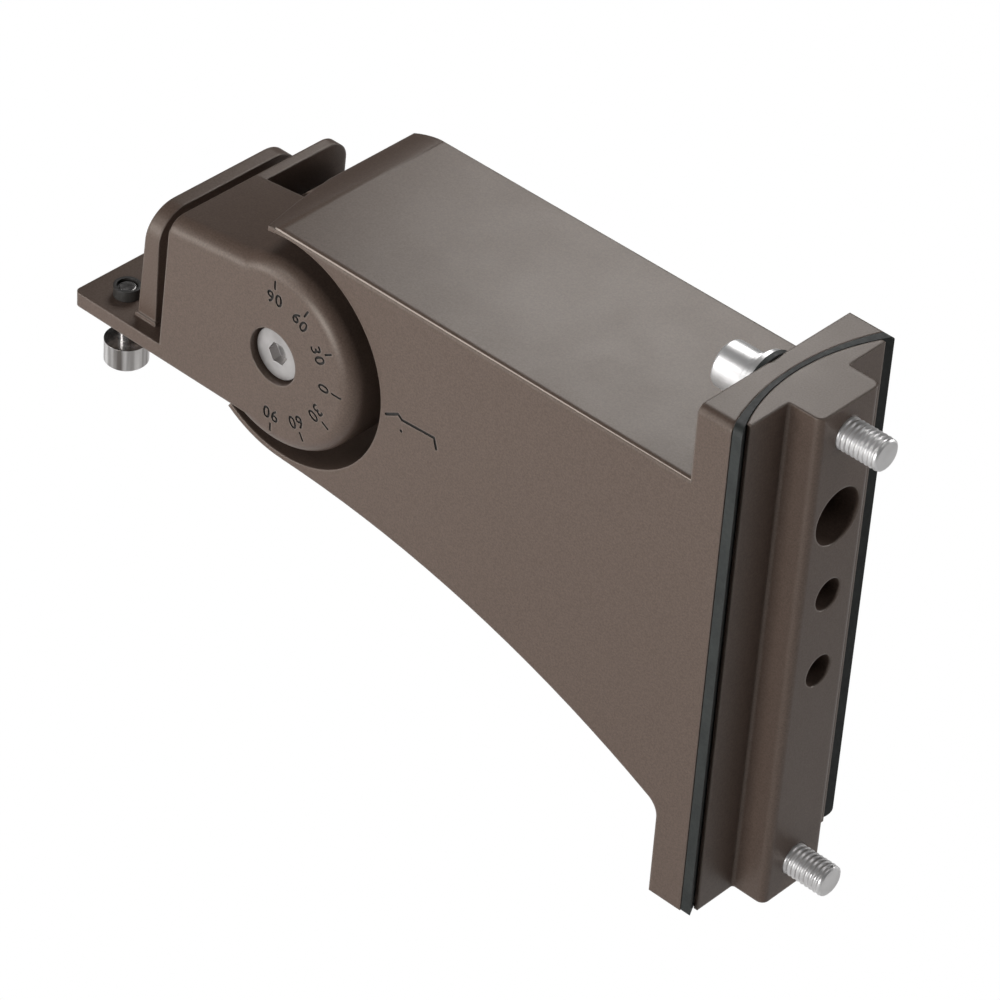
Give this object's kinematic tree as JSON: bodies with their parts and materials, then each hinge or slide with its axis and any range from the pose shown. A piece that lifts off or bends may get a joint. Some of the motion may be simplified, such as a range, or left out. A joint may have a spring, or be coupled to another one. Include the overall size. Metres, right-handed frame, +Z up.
{
  "type": "tilting light mounting arm",
  "caption": "Tapered cast arm that bolts to a round pole and carries an area light on a tilting knuckle with a degree dial.",
  "frame": {"origin": "centre of the pole face, midway between the two pole bolts, in the plane of the flange's side edges", "axes": "+X from the pole out to the light, +Y to the side with the dial, +Z up"},
  "size_m": [0.3431, 0.0908, 0.2176],
  "materials": {
    "powder_coat": "fine-textured dark bronze powder coat on cast aluminium",
    "black_rubber": "matt moulded rubber",
    "zinc_steel": "bright zinc plate",
    "polished_steel": "bright turned and polished",
    "satin_steel": "satin stainless",
    "bronze": "sintered bronze, oiled",
    "brake_lining": "pressed fibre lining",
    "black_nylon": "fine matt moulding"
  },
  "bodies": {
    "arm": {"arm_housing": "powder_coat", "pole_gasket": "black_rubber", "pole_flat_washers": "zinc_steel", "pole_lock_washers": "zinc_steel", "pole_seal_washers": "black_rubber", "friction_disc": "brake_lining", "hub_seal": "black_rubber", "pivot_nut": "zinc_steel", "nut_cap": "black_nylon"},
    "bolt_upper": {"pole_bolt_upper": "zinc_steel"},
    "bolt_lower": {"pole_bolt_lower": "zinc_steel"},
    "nut_plate": {"pole_nut_plate": "powder_coat"},
    "knuckle": {"knuckle_casting": "powder_coat", "pivot_bush": "bronze", "wireway_bush": "black_rubber", "housing_gasket": "black_rubber"},
    "thrust_washer": {"pivot_thrust_washer": "zinc_steel"},
    "lock_screw": {"pivot_screw": "satin_steel"},
    "ring_near": {"captive_retainer_near": "black_nylon"},
    "thumb_near": {"captive_screw_near": "polished_steel"},
    "ring_far": {"captive_retainer_far": "black_nylon"},
    "thumb_far": {"captive_screw_far": "polished_steel"}
  },
  "joints": [
    {"name": "tilt", "type": "hinge", "parent": "arm", "child": "knuckle", "pos_m": [0.204, 0, 0.0276], "axis": [0, -1, 0], "range_deg": [-12, 20]},
    {"name": "lock_screw_lift", "type": "slide", "parent": "arm", "child": "thrust_washer", "axis": [0, 1, 0], "range_m": [0, 0.00874]},
    {"name": "lock_screw_turn", "type": "hinge", "parent": "thrust_washer", "child": "lock_screw", "pos_m": [0.204, 0, 0.0276], "axis": [0, 1, 0], "range_deg": [0, 1800]},
    {"name": "nut_plate_slide", "type": "slide", "parent": "arm", "child": "nut_plate", "axis": [-1, 0, 0], "range_m": [0, 0.0166]},
    {"name": "bolt_upper_turn", "type": "hinge", "parent": "arm", "child": "bolt_upper", "pos_m": [0, 0, 0.09525], "axis": [1, 0, 0], "range_deg": [0, 3060]},
    {"name": "bolt_lower_turn", "type": "hinge", "parent": "arm", "child": "bolt_lower", "pos_m": [0, 0, -0.09525], "axis": [1, 0, 0], "range_deg": [0, 3060]},
    {"name": "thumb_near_lift", "type": "slide", "parent": "knuckle", "child": "ring_near", "axis": [0, 0, 1], "range_m": [0, 0.0137]},
    {"name": "thumb_near_turn", "type": "hinge", "parent": "ring_near", "child": "thumb_near", "pos_m": [0.29254, 0.033, 0], "axis": [0, 0, 1], "continuous": true},
    {"name": "thumb_far_lift", "type": "slide", "parent": "knuckle", "child": "ring_far", "axis": [0, 0, 1], "range_m": [0, 0.0137]},
    {"name": "thumb_far_turn", "type": "hinge", "parent": "ring_far", "child": "thumb_far", "pos_m": [0.29254, -0.0278, 0], "axis": [0, 0, 1], "continuous": true}
  ],
  "couplings": [
    {"joint": "lock_screw_turn", "follows": "lock_screw_lift", "rad_per_m": 3590.4},
    {"joint": "bolt_upper_turn", "follows": "nut_plate_slide", "rad_per_m": 3215.8},
    {"joint": "bolt_lower_turn", "follows": "nut_plate_slide", "rad_per_m": 3215.8}
  ]
}
